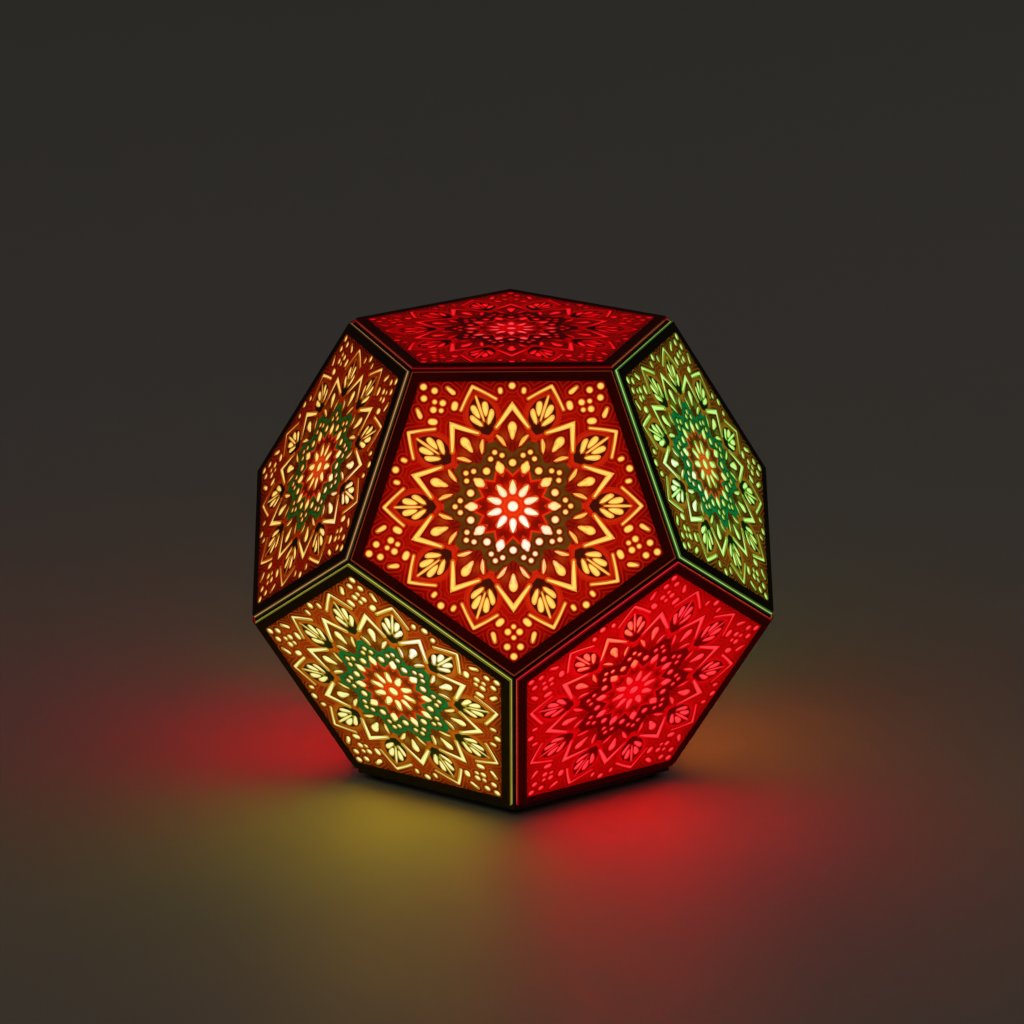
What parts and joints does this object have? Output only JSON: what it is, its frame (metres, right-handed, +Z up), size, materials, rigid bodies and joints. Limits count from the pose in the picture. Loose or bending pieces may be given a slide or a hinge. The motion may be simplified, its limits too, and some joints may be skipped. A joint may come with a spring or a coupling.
{
  "type": "dodecahedron lantern",
  "caption": "Battery table lantern: a dodecahedron of pierced mandala panels over lit coloured diffusers that lifts off a base with a light core.",
  "frame": {"origin": "on the standing surface under the centre of the lantern", "axes": "+Z up; -Y is the way the front panel looks; +X to its right"},
  "size_m": [0.238, 0.2504, 0.2079],
  "materials": {
    "art_plate": "satin black sheet, cut through",
    "frame": "matt black",
    "diffuser_red": "translucent, lit from behind",
    "diffuser_amber": "translucent, lit from behind",
    "diffuser_green": "translucent, lit from behind",
    "diffuser_yellow": "translucent, lit from behind",
    "diffuser_lime": "translucent, lit from behind",
    "base_plastic": "fine grain, black",
    "rubber_foot": "matt",
    "inner_plastic": "moulded, dark grey",
    "screw_steel": "zinc plated",
    "cell_sleeve": "printed sleeve",
    "contact_metal": "nickel plated",
    "board": "solder mask",
    "switch_plastic": "moulded",
    "post_metal": "satin",
    "core_plastic": "white",
    "wire_insulation": "insulated",
    "button_plastic": "red"
  },
  "bodies": {
    "base": {"bottom_plate": "base_plastic", "bottom_frame": "frame", "foot_1": "rubber_foot", "foot_2": "rubber_foot", "foot_3": "rubber_foot", "foot_4": "rubber_foot", "foot_5": "rubber_foot", "light_housing": "inner_plastic", "housing_screw_1": "screw_steel", "housing_screw_2": "screw_steel", "housing_screw_3": "screw_steel", "housing_screw_4": "screw_steel", "battery_tray": "inner_plastic", "battery_cell_1": "cell_sleeve", "battery_cell_2": "cell_sleeve", "battery_cell_3": "cell_sleeve", "battery_contact_rear": "contact_metal", "battery_contact_front": "contact_metal", "circuit_board": "board", "switch_body": "switch_plastic", "light_post": "post_metal", "light_core": "core_plastic", "light_wire": "wire_insulation"},
    "shell": {"frame_top": "frame", "frame_upper_front": "frame", "frame_upper_right": "frame", "frame_upper_rear_right": "frame", "frame_upper_rear_left": "frame", "frame_upper_left": "frame", "frame_lower_front_right": "frame", "frame_lower_right": "frame", "frame_lower_rear": "frame", "frame_lower_left": "frame", "frame_lower_front_left": "frame", "diffuser_top": "diffuser_red", "diffuser_upper_front": "diffuser_amber", "diffuser_upper_right": "diffuser_green", "diffuser_upper_rear_right": "diffuser_amber", "diffuser_upper_rear_left": "diffuser_red", "diffuser_upper_left": "diffuser_yellow", "diffuser_lower_front_right": "diffuser_red", "diffuser_lower_right": "diffuser_amber", "diffuser_lower_rear": "diffuser_green", "diffuser_lower_left": "diffuser_red", "diffuser_lower_front_left": "diffuser_lime", "plate_top": "art_plate", "plate_upper_front": "art_plate", "plate_upper_right": "art_plate", "plate_upper_rear_right": "art_plate", "plate_upper_rear_left": "art_plate", "plate_upper_left": "art_plate", "plate_lower_front_right": "art_plate", "plate_lower_right": "art_plate", "plate_lower_rear": "art_plate", "plate_lower_left": "art_plate", "plate_lower_front_left": "art_plate"},
    "battery_door": {"battery_door": "base_plastic"},
    "power_button": {"power_button": "button_plastic"}
  },
  "joints": [
    {"name": "shell_lift", "type": "slide", "parent": "base", "child": "shell", "axis": [0, 0, 1], "range_m": [0, 0.13]},
    {"name": "battery_door_slide", "type": "slide", "parent": "base", "child": "battery_door", "axis": [0, 1, 0], "range_m": [0, 0.062]},
    {"name": "power_button_press", "type": "slide", "parent": "base", "child": "power_button", "axis": [0, 0, 1], "range_m": [0, 0.002], "stiffness_N_per_m": 400, "springref_m": -0.002}
  ]
}
